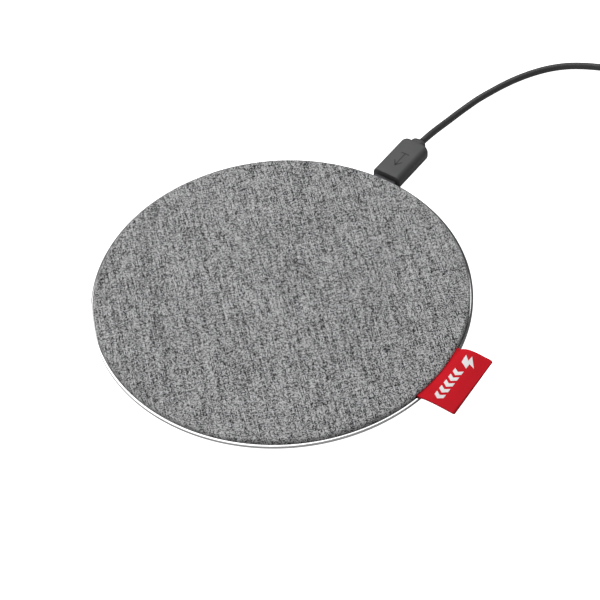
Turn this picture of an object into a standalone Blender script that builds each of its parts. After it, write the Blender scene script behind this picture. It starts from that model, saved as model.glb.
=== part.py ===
"""Round wireless charging pad with a fabric top, a metal trim ring, a side label and a micro-USB lead.

Units are metres, +Z is up and z = 0 is the table. The origin is the centre of the underside, the port
faces +Y and the label sticks out along +X. Run with: blender --background --python part.py
"""

import math

import bmesh
import bpy
from mathutils import Matrix, Vector

MM = 0.001
GAP = 0.3 * MM  # clearance between pieces that touch or rest on each other

# Driving dimensions of the pad
PAD_RADIUS = 55.0 * MM
TOP_Z = 8.0 * MM
FABRIC_THICKNESS = 0.5 * MM
FABRIC_RADIUS = 54.2 * MM
FABRIC_EDGE = 0.9 * MM
SEAM_Z = 6.75 * MM  # top of the trim ring, where it meets the fabric's rounded edge
DISC_RADIUS = 36.0 * MM
DISC_HEIGHT = 1.0 * MM
FLOOR_LOW, FLOOR_HIGH = 1.3 * MM, 2.3 * MM  # the base's floor
WALL_TOP = 5.2 * MM
FLANGE_LOW, FLANGE_HIGH = 5.5 * MM, 5.9 * MM  # the trim ring's inner flange
PLATE_LOW, PLATE_HIGH = 5.9 * MM, 7.2 * MM
PLATE_RADIUS = 53.2 * MM

# Label
LABEL_WIDTH = 20.6 * MM
LABEL_THICKNESS = 0.5 * MM
LABEL_Y, LABEL_Z = 0.25 * MM, 7.1 * MM  # middle of its width and of its thickness at the root
LABEL_HINGE_X = 55.25 * MM
LABEL_END_X = 65.1 * MM
LABEL_RISE = 1.35 * MM
LABEL_DROOP = 0.25 * MM
LABEL_TWIST = 0.65 * MM

# Charging coil and its carriers
TRAY_RADIUS = 28.2 * MM
FERRITE_RADIUS = 26.5 * MM
FERRITE_LOW, FERRITE_HIGH = 3.3 * MM, 4.0 * MM
WIRE_RADIUS = 0.5 * MM
COIL_Z = 4.8 * MM
COIL_INNER, COIL_PITCH, COIL_TURNS = 11.0 * MM, 1.5 * MM, 9

# Circuit board
BOARD_LOW, BOARD_HIGH = 2.6 * MM, 3.6 * MM
BOARD_INNER, BOARD_OUTER = 29.8 * MM, 42.7 * MM
BOARD_HALF_SPAN = math.radians(50)

# Screws
CASE_SCREW_RADIUS = 33.0 * MM
CASE_SCREW_ANGLES = [math.radians(a) for a in (20, 160, 240, 300)]
BOARD_SCREW_RADIUS = 38.0 * MM
BOARD_SCREW_ANGLES = [math.radians(a) for a in (48, 132)]

# Port and micro-USB plug
PORT_X = -2.7 * MM
PORT_Z = 3.3 * MM
PORT_REAR_Y, PORT_FRONT_Y = 47.4 * MM, 54.0 * MM
PORT_FACE_Y = 54.2 * MM
PORT_SHELL = (7.9 * MM, 2.5 * MM, 0.9 * MM)  # width, height and lower corners' chamfer
PORT_HOLLOW = (7.4 * MM, 2.0 * MM, 0.75 * MM)
PLUG_SHELL = (6.85 * MM, 1.8 * MM, 0.75 * MM)
PLUG_HOLLOW = (6.35 * MM, 1.3 * MM, 0.6 * MM)
PLUG_FRONT_Y = 58.1 * MM
PLUG_REAR_Y = 74.6 * MM
PLUG_WIDTH, PLUG_HEIGHT = 9.4 * MM, 4.9 * MM
PLUG_TIP_Y = 49.6 * MM
RELIEF_REAR_Y = 77.3 * MM

# Lead
CORD_DIAMETER = 2.2 * MM
CORD_Z = 1.12 * MM
COIL_CENTRE = Vector((61.0, 134.0, 0.0)) * MM
LANES = 4
LAYERS = 3
LANE_PITCH = 2.27 * MM
LAYER_PITCH = 2.05 * MM
LANE_MIDDLE = 12.5 * MM
TIE_ANGLE = math.radians(215)
TAIL_ANGLE = math.radians(10)
CORD_ROUTE = [
    Vector(p) * MM
    for p in (
        (-2.7, 77.6, 3.3),
        (-2.6, 81.4, 2.95),
        (-2.46, 84.8, 2.5),
        (-2.25, 88.4, 1.95),
        (-1.95, 92.2, 1.46),
        (-1.5, 96.2, 1.18),
        (-0.75, 100.4, 1.12),
        (0.2, 105.0, 1.12),
        (1.7, 110.0, 1.12),
        (3.4, 115.0, 1.12),
        (5.6, 120.2, 1.12),
        (8.4, 125.3, 1.12),
        (11.8, 130.0, 1.12),
        (15.9, 134.0, 1.12),
        (20.5, 137.0, 1.12),
        (25.6, 139.5, 1.12),
        (31.0, 141.9, 1.12),
        (36.6, 144.3, 1.12),
        (42.2, 146.6, 1.12),
        (47.0, 148.2, 1.12),
        (51.6, 149.4, 1.12),
    )
]

# USB-A plug
USB_A_WIDTH, USB_A_HEIGHT, USB_A_LENGTH = 15.6 * MM, 7.6 * MM, 21.0 * MM
USB_A_Z = 3.9 * MM
USB_A_SHELL = (12.0 * MM, 4.5 * MM, 18.0 * MM)
USB_A_RELIEF = 9.0 * MM


# ---------------------------------------------------------------- scene helpers


def clear_scene():
    for obj in list(bpy.data.objects):
        bpy.data.objects.remove(obj, do_unlink=True)


def new_collection(name):
    collection = bpy.data.collections.new(name)
    bpy.context.scene.collection.children.link(collection)
    return collection


clear_scene()
PARTS = new_collection("wireless_charging_pad")
CUTTERS = new_collection("cutters")


def material(name, colour, roughness, metallic=0.0):
    made = bpy.data.materials.new(name)
    made.use_nodes = True
    shader = made.node_tree.nodes["Principled BSDF"]
    shader.inputs["Base Color"].default_value = (*colour, 1.0)
    shader.inputs["Roughness"].default_value = roughness
    shader.inputs["Metallic"].default_value = metallic
    made.diffuse_color = (*colour, 1.0)
    return made


def add_object(name, mesh, look):
    """A part with this mesh, or a cutter where it has no look."""
    obj = bpy.data.objects.new(name, mesh)
    if look is None:
        CUTTERS.objects.link(obj)
        obj.hide_render = True
        obj.display_type = "WIRE"
        return obj
    PARTS.objects.link(obj)
    mesh.materials.append(look)
    return obj


def smooth(obj, angle=35):
    obj.data.shade_smooth()
    obj.data.set_sharp_from_angle(angle=math.radians(angle))
    return obj


def mesh_from(name, bm):
    bmesh.ops.recalc_face_normals(bm, faces=bm.faces)
    mesh = bpy.data.meshes.new(name)
    bm.to_mesh(mesh)
    bm.free()
    return mesh


def box(name, low, high, look=None):
    bm = bmesh.new()
    bmesh.ops.create_cube(bm, size=1.0)
    low, high = Vector(low), Vector(high)
    size = high - low
    bmesh.ops.scale(bm, vec=size, verts=bm.verts)
    bmesh.ops.translate(bm, vec=(low + high) / 2, verts=bm.verts)
    return add_object(name, mesh_from(name, bm), look)


def cylinder(name, centre, radius, low, high, look=None, segments=24):
    bm = bmesh.new()
    bmesh.ops.create_cone(
        bm, cap_ends=True, segments=segments, radius1=radius, radius2=radius, depth=high - low
    )
    bmesh.ops.translate(bm, vec=(centre[0], centre[1], (low + high) / 2), verts=bm.verts)
    return add_object(name, mesh_from(name, bm), look)


def turned(name, profile, look=None, steps=72, closed=False):
    """A solid of revolution about Z. The profile's outer side runs from top to bottom."""
    mesh = bpy.data.meshes.new(name)
    count = len(profile)
    edges = [(i, i + 1) for i in range(count - 1)]
    if closed:
        edges.append((count - 1, 0))
    mesh.from_pydata([(r, 0.0, z) for r, z in profile], edges, [])
    obj = add_object(name, mesh, look)
    screw = obj.modifiers.new("turn", "SCREW")
    screw.axis = "Z"
    screw.angle = math.tau
    screw.steps = screw.render_steps = steps
    screw.use_merge_vertices = True
    screw.merge_threshold = 0.00001
    return obj


def prism_along_y(name, outline, low_y, high_y, look=None):
    """An XZ outline extruded along Y."""
    bm = bmesh.new()
    verts = [bm.verts.new((x, low_y, z)) for x, z in outline]
    face = bm.faces.new(verts)
    moved = bmesh.ops.extrude_face_region(bm, geom=[face])["geom"]
    shift = Vector((0.0, high_y - low_y, 0.0))
    bmesh.ops.translate(bm, vec=shift, verts=[v for v in moved if isinstance(v, bmesh.types.BMVert)])
    return add_object(name, mesh_from(name, bm), look)


def bevel(obj, width, segments=2, angle=40):
    modifier = obj.modifiers.new("rounded edges", "BEVEL")
    modifier.width = width
    modifier.segments = segments
    modifier.limit_method = "ANGLE"
    modifier.angle_limit = math.radians(angle)
    return obj


def boolean(obj, other, operation="DIFFERENCE"):
    modifier = obj.modifiers.new(operation.lower(), "BOOLEAN")
    modifier.operation = operation
    modifier.object = other
    return obj


def tube(name, points, radius, look, resolution=2):
    curve = bpy.data.curves.new(name, "CURVE")
    curve.dimensions = "3D"
    curve.bevel_depth = radius
    curve.bevel_resolution = resolution
    curve.use_fill_caps = True
    spline = curve.splines.new("POLY")
    spline.points.add(len(points) - 1)
    for point, place in zip(spline.points, points):
        point.co = (*place, 1.0)
    curve.materials.append(look)
    obj = bpy.data.objects.new(name, curve)
    PARTS.objects.link(obj)
    return obj


def smooth_route(points, spacing):
    """Points about this far apart on a Catmull-Rom curve through the route's own points."""
    ends = [2 * points[0] - points[1]] + list(points) + [2 * points[-1] - points[-2]]
    found = [points[0]]
    for p0, p1, p2, p3 in zip(ends, ends[1:], ends[2:], ends[3:]):
        steps = max(1, round((p2 - p1).length / spacing))
        for i in range(1, steps + 1):
            t = i / steps
            bend = (2 * p0 - 5 * p1 + 4 * p2 - p3) * t * t + (3 * p1 - p0 - 3 * p2 + p3) * t**3
            found.append((2 * p1 + (p2 - p0) * t + bend) / 2)
    return found


def polar(radius, angle, z=0.0):
    return Vector((radius * math.cos(angle), radius * math.sin(angle), z))


# ---------------------------------------------------------------- housing


def make_disc(look):
    edge = 0.25 * MM
    profile = [
        (0.0, DISC_HEIGHT),
        (DISC_RADIUS, DISC_HEIGHT),
        (DISC_RADIUS, edge),
        (DISC_RADIUS - edge, 0.0),
        (0.0, 0.0),
    ]
    return smooth(turned("antislip_disc", profile, look))


def make_base(look):
    """A shallow bowl whose wall leans in steeply under the trim ring, with a housing for the port."""
    profile = [
        (0.0, FLOOR_HIGH),
        (39.5 * MM, FLOOR_HIGH),
        (43.4 * MM, 2.6 * MM),
        (46.6 * MM, 3.3 * MM),
        (50.2 * MM, 4.5 * MM),
        (52.0 * MM, WALL_TOP),
        (53.9 * MM, WALL_TOP),
        (53.7 * MM, 4.7 * MM),
        (51.2 * MM, 3.2 * MM),
        (46.4 * MM, 1.5 * MM),
        (42.6 * MM, 0.7 * MM),
        (40.0 * MM, 0.4 * MM),
        (DISC_RADIUS + GAP, 0.4 * MM),
        (DISC_RADIUS + GAP, FLOOR_LOW),
        (0.0, FLOOR_LOW),
    ]
    base = turned("base_shell", profile, look, steps=56)
    boss_half, pocket_half, window_half = 7.0 * MM, 5.6 * MM, 4.25 * MM
    boss = box(
        "port_boss_form",
        (PORT_X - boss_half, 47.5 * MM, 1.2 * MM),
        (PORT_X + boss_half, PORT_FACE_Y, WALL_TOP),
    )
    boolean(base, boss, "UNION")
    boss_radius, head_radius, hole_radius, board_hole_radius = 3.5 * MM, 2.3 * MM, 1.2 * MM, 0.95 * MM
    for i, angle in enumerate(CASE_SCREW_ANGLES):
        place = polar(CASE_SCREW_RADIUS, angle)
        boolean(base, cylinder(f"base_boss_form_{i}", place, boss_radius, 1.8 * MM, 3.4 * MM), "UNION")
    pocket = box(
        "board_pocket",
        (PORT_X - pocket_half, 40.0 * MM, 2.3 * MM),
        (PORT_X + pocket_half, 52.4 * MM, 4.8 * MM),
    )
    window = box(
        "port_window",
        (PORT_X - window_half, 46.5 * MM, PORT_Z - 1.5 * MM),
        (PORT_X + window_half, 56.0 * MM, PORT_Z + 1.5 * MM),
    )
    boolean(boolean(base, pocket), window)
    for i, angle in enumerate(CASE_SCREW_ANGLES):
        place = polar(CASE_SCREW_RADIUS, angle)
        boolean(base, cylinder(f"head_pocket_{i}", place, head_radius, 0.5 * MM, 2.35 * MM))
        boolean(base, cylinder(f"screw_hole_{i}", place, hole_radius, 2.0 * MM, 4.0 * MM))
    for i, angle in enumerate(BOARD_SCREW_ANGLES):
        place = polar(BOARD_SCREW_RADIUS, angle)
        hole = cylinder(f"board_screw_hole_{i}", place, board_hole_radius, 1.65 * MM, 3.0 * MM, segments=16)
        boolean(base, hole)
    return smooth(base)


def make_trim_ring(look):
    inner = 54.4 * MM
    profile = [
        (inner, SEAM_Z),
        (54.72 * MM, SEAM_Z - 0.03 * MM),
        (PAD_RADIUS, 6.4 * MM),
        (PAD_RADIUS, 6.05 * MM),
        (54.8 * MM, 5.75 * MM),
        (54.4 * MM, FLANGE_LOW),
        (51.6 * MM, FLANGE_LOW),
        (51.6 * MM, FLANGE_HIGH),
        (inner, FLANGE_HIGH),
    ]
    return smooth(turned("trim_ring", profile, look, steps=80, closed=True))


def make_top_plate(look):
    profile = [
        (0.0, PLATE_HIGH),
        (52.7 * MM, PLATE_HIGH),
        (PLATE_RADIUS, 6.8 * MM),
        (PLATE_RADIUS, FLANGE_HIGH + GAP),
        (50.8 * MM, FLANGE_HIGH + GAP),
        (50.8 * MM, PLATE_LOW),
        (0.0, PLATE_LOW),
    ]
    plate = turned("top_plate", profile, look, steps=48)
    boss_radius, hole_radius = 2.6 * MM, 1.15 * MM
    for i, angle in enumerate(CASE_SCREW_ANGLES):
        place = polar(CASE_SCREW_RADIUS, angle)
        boolean(plate, cylinder(f"plate_boss_form_{i}", place, boss_radius, 3.7 * MM, 6.2 * MM), "UNION")
    for i, angle in enumerate(CASE_SCREW_ANGLES):
        place = polar(CASE_SCREW_RADIUS, angle)
        boolean(plate, cylinder(f"plate_hole_{i}", place, hole_radius, 3.0 * MM, 5.6 * MM, segments=16))
    half = LABEL_WIDTH / 2 + 0.5 * MM
    recess_low, recess_high = LABEL_Y - half, LABEL_Y + half
    notch = box("plate_notch", (51.3 * MM, recess_low, 6.5 * MM), (56.0 * MM, recess_high, TOP_Z))
    return smooth(boolean(plate, notch))


def make_fabric(look):
    """The woven cover: flat on top, rounded over the plate's edge and tucked down inside the ring."""
    low = FLANGE_HIGH + GAP
    turn = FABRIC_EDGE
    arc = [math.radians(a) for a in (90, 60, 30, 0)]
    outer = [
        (FABRIC_RADIUS - turn + turn * math.cos(a), TOP_Z - turn + turn * math.sin(a)) for a in arc
    ]
    inner_turn = turn - FABRIC_THICKNESS
    inner = [
        (FABRIC_RADIUS - turn + inner_turn * math.cos(a), TOP_Z - turn + inner_turn * math.sin(a))
        for a in reversed(arc)
    ]
    profile = [(0.0, TOP_Z)] + outer + [(FABRIC_RADIUS, low), (FABRIC_RADIUS - FABRIC_THICKNESS, low)]
    profile += inner + [(0.0, TOP_Z - FABRIC_THICKNESS)]
    cover = turned("fabric_cover", profile, look, steps=72)
    half = LABEL_WIDTH / 2 + 0.3 * MM
    slot_top = TOP_Z - FABRIC_THICKNESS
    slot = box("label_slot", (51.4 * MM, LABEL_Y - half, 5.5 * MM), (56.0 * MM, LABEL_Y + half, slot_top))
    return smooth(boolean(cover, slot))


def make_label(look):
    """The clamped root and the free tab, which bows up and twists a little past the trim ring."""
    half = LABEL_WIDTH / 2
    thick = LABEL_THICKNESS / 2
    root_x, hinge_gap = 51.7 * MM, 0.25 * MM
    box(
        "label_root",
        (root_x, LABEL_Y - half, LABEL_Z - thick),
        (LABEL_HINGE_X - hinge_gap, LABEL_Y + half, LABEL_Z + thick),
        look,
    )
    start = LABEL_HINGE_X + hinge_gap
    across, along = 4, 8
    corner = 0.9 * MM
    rows = []
    for i in range(along + 1):
        share = i / along
        x = start + (LABEL_END_X - start) * share
        risen = 1 - (1 - share) ** 5
        middle = LABEL_Z + LABEL_RISE * risen - LABEL_DROOP * share**2
        side = half - (corner if i == along else 0.0)
        row = []
        for j in range(across + 1):
            aside = 2 * j / across - 1
            row.append((x, LABEL_Y + side * aside, middle + LABEL_TWIST * risen * aside))
        rows.append(row)
    bm = bmesh.new()
    grid = [[bm.verts.new(place) for place in row] for row in rows]
    for first, second in zip(grid, grid[1:]):
        for j in range(across):
            bm.faces.new((first[j], second[j], second[j + 1], first[j + 1]))
    tab = add_object("label_tab", mesh_from("label_tab", bm), look)
    solidify = tab.modifiers.new("thickness", "SOLIDIFY")
    solidify.thickness = LABEL_THICKNESS
    solidify.offset = 0.0
    return smooth(tab)


# ---------------------------------------------------------------- charging parts inside


def make_tray(look):
    rim, floor, wall = 3.9 * MM, 3.0 * MM, 1.0 * MM
    profile = [
        (0.0, floor),
        (TRAY_RADIUS - wall, floor),
        (TRAY_RADIUS - wall, rim),
        (TRAY_RADIUS, rim),
        (TRAY_RADIUS, BOARD_LOW),
        (0.0, BOARD_LOW),
    ]
    tray = turned("coil_tray", profile, look, steps=48)
    notch_half = 1.2 * MM
    notch = box("lead_notch", (-notch_half, 25.0 * MM, 2.9 * MM), (notch_half, 30.0 * MM, 5.0 * MM))
    return smooth(boolean(tray, notch))


def make_ferrite(look):
    """A flat disc, slotted so that the winding's inner lead can pass out beneath the turns."""
    profile = [
        (0.0, FERRITE_HIGH),
        (FERRITE_RADIUS, FERRITE_HIGH),
        (FERRITE_RADIUS, FERRITE_LOW),
        (0.0, FERRITE_LOW),
    ]
    sheet = turned("ferrite_sheet", profile, look, steps=48)
    slot_half, slot_start, below, above = 1.0 * MM, 9.6 * MM, 3.0 * MM, 5.0 * MM
    slot = box("lead_slot", (-slot_half, slot_start, below), (slot_half, 28.0 * MM, above))
    corner = box("lead_corner", (-2.6 * MM, slot_start, below), (0.0, 12.4 * MM, above))
    return smooth(boolean(boolean(sheet, slot), corner))


def make_winding(look):
    """One litz wire: in under the winding through the ferrite's slot, nine flat turns, and out again."""
    under, pad_z = 3.7 * MM, 4.25 * MM
    lead_in = [
        Vector((0.0, 31.6 * MM, pad_z)),
        Vector((0.0, 29.6 * MM, pad_z - 0.1 * MM)),
        Vector((0.0, 27.6 * MM, under)),
        Vector((0.0, 20.0 * MM, under)),
        Vector((0.0, 12.4 * MM, under)),
        Vector((-0.1 * MM, 11.3 * MM, under + 0.05 * MM)),
        Vector((-0.8 * MM, 10.95 * MM, 4.2 * MM)),
    ]
    per_turn = 18
    first = math.radians(100)
    turns = []
    for i in range(COIL_TURNS * per_turn):
        share = i / per_turn
        turns.append(polar(COIL_INNER + COIL_PITCH * share, first + math.tau * share, COIL_Z))
    lead_out = [
        Vector((-4.6 * MM, 26.0 * MM, COIL_Z)),
        Vector((-5.6 * MM, 28.2 * MM, 4.6 * MM)),
        Vector((-5.6 * MM, 31.6 * MM, pad_z)),
    ]
    return tube("coil_winding", lead_in + turns + lead_out, WIRE_RADIUS, look, resolution=1)


def make_thermistor(look):
    radius, stretch = 0.6 * MM, 1.8
    bm = bmesh.new()
    bmesh.ops.create_uvsphere(bm, u_segments=12, v_segments=8, radius=radius)
    bmesh.ops.scale(bm, vec=(stretch, 1.0, 1.0), verts=bm.verts)
    bmesh.ops.translate(bm, vec=(0.0, 0.0, FERRITE_HIGH + GAP + radius), verts=bm.verts)
    return smooth(add_object("thermistor", mesh_from("thermistor", bm), look))


def make_board(look):
    """A crescent round the coil, with a tongue that holds the sunk-in port between two prongs."""
    middle = math.pi / 2
    steps = 14
    sweep = [middle - BOARD_HALF_SPAN + 2 * BOARD_HALF_SPAN * i / steps for i in range(steps + 1)]
    outline = [polar(BOARD_OUTER, a) for a in sweep] + [polar(BOARD_INNER, a) for a in reversed(sweep)]
    bm = bmesh.new()
    face = bm.faces.new([bm.verts.new((p.x, p.y, BOARD_LOW)) for p in outline])
    moved = bmesh.ops.extrude_face_region(bm, geom=[face])["geom"]
    rise = Vector((0.0, 0.0, BOARD_HIGH - BOARD_LOW))
    bmesh.ops.translate(bm, vec=rise, verts=[v for v in moved if isinstance(v, bmesh.types.BMVert)])
    board = add_object("main_board", mesh_from("main_board", bm), look)
    tongue, prong_gap, below, above = 5.3 * MM, 4.2 * MM, 2.0 * MM, 5.0 * MM
    form = box(
        "board_tongue_form",
        (PORT_X - tongue, 38.0 * MM, BOARD_LOW),
        (PORT_X + tongue, 52.0 * MM, BOARD_HIGH),
    )
    cutout = box(
        "port_cutout",
        (PORT_X - prong_gap, PORT_REAR_Y - GAP, below),
        (PORT_X + prong_gap, 53.0 * MM, above),
    )
    boolean(boolean(board, form, "UNION"), cutout)
    for i, angle in enumerate(BOARD_SCREW_ANGLES):
        place = polar(BOARD_SCREW_RADIUS, angle)
        boolean(board, cylinder(f"board_hole_{i}", place, 1.05 * MM, below, above, segments=16))
    return board


def place_on_board(name, radius, angle_deg, size, look, round_off=0.0):
    """A component on the board, turned to face the centre."""
    length, width, height = size
    low = BOARD_HIGH + GAP
    part = box(name, (-width / 2, -length / 2, 0.0), (width / 2, length / 2, height), look)
    angle = math.radians(angle_deg)
    part.location = polar(radius, angle, low)
    part.rotation_euler = (0.0, 0.0, angle)
    if round_off:
        bevel(part, round_off)
    return part


def make_components(chip, ceramic, inductor, metal):
    """The driver's parts, each with its distance out, its angle and its length, width and height."""
    controller, mosfet = (5.0 * MM, 5.0 * MM, 0.9 * MM), (3.3 * MM, 3.3 * MM, 0.9 * MM)
    capacitor, choke = (1.9 * MM, 3.2 * MM, 1.4 * MM), (5.2 * MM, 5.2 * MM, 1.6 * MM)
    resonator = (3.2 * MM, 2.0 * MM, 0.8 * MM)
    place_on_board("controller_ic", 36.0 * MM, 104, controller, chip)
    for i, angle in enumerate((79, 69)):
        place_on_board(f"bridge_mosfet_{i + 1}", 37.4 * MM, angle, mosfet, chip)
    for i, angle in enumerate((62.5, 57.5, 52.5)):
        place_on_board(f"resonant_capacitor_{i + 1}", 33.2 * MM, angle, capacitor, ceramic)
    place_on_board("power_inductor", 36.6 * MM, 119, choke, inductor, round_off=0.6 * MM)
    place_on_board("crystal", 40.4 * MM, 108, resonator, metal)


def make_screw(name, place, head_radius, head_low, head_high, shaft_radius, shaft_end, look):
    """A pan-head screw, head down for the case and head up for the board, with a cross recess."""
    upward = shaft_end > head_high
    depth = 0.4 * (head_high - head_low)
    ease = 0.3 * (head_high - head_low)
    if upward:
        profile = [
            (0.0, shaft_end),
            (0.6 * shaft_radius, shaft_end),
            (shaft_radius, shaft_end - shaft_radius),
            (shaft_radius, head_high),
            (head_radius, head_high),
            (head_radius, head_low + ease),
            (head_radius - ease, head_low),
            (0.0, head_low),
        ]
    else:
        profile = [
            (0.0, head_high),
            (head_radius - ease, head_high),
            (head_radius, head_high - ease),
            (head_radius, head_low),
            (shaft_radius, head_low),
            (shaft_radius, shaft_end + shaft_radius),
            (0.6 * shaft_radius, shaft_end),
            (0.0, shaft_end),
        ]
    screw = turned(name, profile, look, steps=16)
    screw.location = place
    low, high = (head_low - 1 * MM, head_low + depth) if upward else (head_high - depth, head_high + 1 * MM)
    long, short = 0.6 * head_radius, 0.14 * head_radius
    for suffix, half_x, half_y in (("a", long, short), ("b", short, long)):
        cut = box(f"{name}_slot_{suffix}", (-half_x, -half_y, low), (half_x, half_y, high))
        cut.location = place
        boolean(screw, cut)
    return smooth(screw)


def make_screws(look):
    for i, angle in enumerate(CASE_SCREW_ANGLES):
        place = polar(CASE_SCREW_RADIUS, angle)
        make_screw(f"case_screw_{i + 1}", place, 2.0 * MM, 1.35 * MM, 2.1 * MM, 0.95 * MM, 5.3 * MM, look)
    for i, angle in enumerate(BOARD_SCREW_ANGLES):
        place = polar(BOARD_SCREW_RADIUS, angle)
        make_screw(f"board_screw_{i + 1}", place, 1.6 * MM, 3.9 * MM, 4.6 * MM, 0.75 * MM, 1.9 * MM, look)


# ---------------------------------------------------------------- port and micro-USB plug


def port_outline(width, height, chamfer):
    """The connector's outline: square above, chamfered below."""
    x, z = width / 2, height / 2
    points = [(-x, z), (-x, chamfer - z), (chamfer - x, -z), (x - chamfer, -z), (x, chamfer - z), (x, z)]
    return [(PORT_X + a, PORT_Z + b) for a, b in points]


def make_port(metal, plastic):
    shell = prism_along_y("port_shell", port_outline(*PORT_SHELL), PORT_REAR_Y, PORT_FRONT_Y, metal)
    hollow = prism_along_y(
        "port_hollow", port_outline(*PORT_HOLLOW), PORT_REAR_Y + 0.6 * MM, PORT_FRONT_Y + 1 * MM
    )
    boolean(shell, hollow)
    box(
        "port_tongue",
        (PORT_X - 1.9 * MM, 48.3 * MM, 3.4 * MM),
        (PORT_X + 1.9 * MM, 53.0 * MM, 3.75 * MM),
        plastic,
    )


def make_plug(metal, plastic, rubber):
    """The micro-USB plug, seated in the port."""
    shell_rear = PLUG_FRONT_Y - GAP
    shell = prism_along_y("plug_shell", port_outline(*PLUG_SHELL), PLUG_TIP_Y, shell_rear, metal)
    hollow = port_outline(*PLUG_HOLLOW)
    boolean(shell, prism_along_y("plug_hollow", hollow, PLUG_TIP_Y - 1 * MM, shell_rear + 1 * MM))
    box(
        "plug_contact_block",
        (PORT_X - 2.3 * MM, PLUG_TIP_Y + 0.6 * MM, 2.75 * MM),
        (PORT_X + 2.3 * MM, shell_rear - 0.1 * MM, 3.1 * MM),
        plastic,
    )
    half_x, half_z = PLUG_WIDTH / 2, PLUG_HEIGHT / 2
    body = box(
        "plug_overmould",
        (PORT_X - half_x, PLUG_FRONT_Y, PORT_Z - half_z),
        (PORT_X + half_x, PLUG_REAR_Y, PORT_Z + half_z),
        rubber,
    )
    smooth(bevel(body, 1.3 * MM, segments=3))
    neck_x, neck_z = 2.4 * MM, 1.9 * MM
    relief = box(
        "plug_strain_relief",
        (PORT_X - neck_x, PLUG_REAR_Y + GAP, PORT_Z - neck_z),
        (PORT_X + neck_x, RELIEF_REAR_Y, PORT_Z + neck_z),
        rubber,
    )
    smooth(bevel(relief, 1.0 * MM, segments=2))


# ---------------------------------------------------------------- lead, coil and USB-A plug


def tail_frame():
    """Where the lead leaves the coil, and the direction it leaves in, along the clockwise turns."""
    outermost = LANE_MIDDLE + LANE_PITCH * (LANES - 1) / 2
    start = COIL_CENTRE + polar(outermost, TAIL_ANGLE)
    return start, Vector((math.sin(TAIL_ANGLE), -math.cos(TAIL_ANGLE), 0.0))


def make_cable(look):
    tube("cable_run", smooth_route(CORD_ROUTE, 2.4 * CORD_DIAMETER), CORD_DIAMETER / 2, look)
    start, along = tail_frame()
    heights = ((8.9, 5.1), (11.0, 4.6), (13.4, 3.98), (15.7, 3.9))
    tube(
        "cable_tail",
        [start + along * distance * MM + Vector((0.0, 0.0, z * MM)) for distance, z in heights],
        CORD_DIAMETER / 2,
        look,
    )


def make_cable_coil(look):
    spread = LANE_PITCH * (LANES - 1) / 2 + CORD_DIAMETER / 2 + 0.05 * MM
    inner, outer = LANE_MIDDLE - spread, LANE_MIDDLE + spread
    high = CORD_DIAMETER + LAYER_PITCH * (LAYERS - 1) + 0.05 * MM
    ease = 0.9 * MM
    profile = [
        (inner + ease, high),
        (outer - ease, high),
        (outer, high - ease),
        (outer, ease),
        (outer - ease, 0.0),
        (inner + ease, 0.0),
        (inner, ease),
        (inner, high - ease),
    ]
    coil = turned("cable_coil", profile, look, steps=40, closed=True)
    coil.location = COIL_CENTRE
    groove_half, groove_high, past = 2.6 * MM, 1.1 * MM, 3 * MM
    notch = box(
        "tie_groove",
        (inner - past, -groove_half, -1 * MM),
        (outer + past, groove_half, groove_high),
    )
    notch.location = COIL_CENTRE
    notch.rotation_euler = (0.0, 0.0, TIE_ANGLE)
    smooth(boolean(coil, notch))
    return inner, outer, high


def make_tie(inner, outer, high, look):
    """A flat strap closed round the coil's turns. They ride up over it where it passes beneath."""
    band, half_width = 0.8 * MM, 2.2 * MM
    top = high + 1.15 * MM
    inside, outside = inner - 0.7 * MM, outer + GAP
    low, high_corner = (inside - band, -half_width, 0.0), (outside + band, half_width, top + band)
    tie = box("coil_tie", low, high_corner, look)
    bevel(tie, 0.35 * MM, segments=2)
    opening = box("tie_opening", (inside, -5 * MM, band), (outside, 5 * MM, top))
    for obj in (tie, opening):
        obj.location = COIL_CENTRE
        obj.rotation_euler = (0.0, 0.0, TIE_ANGLE)
    return smooth(boolean(tie, opening))


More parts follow.
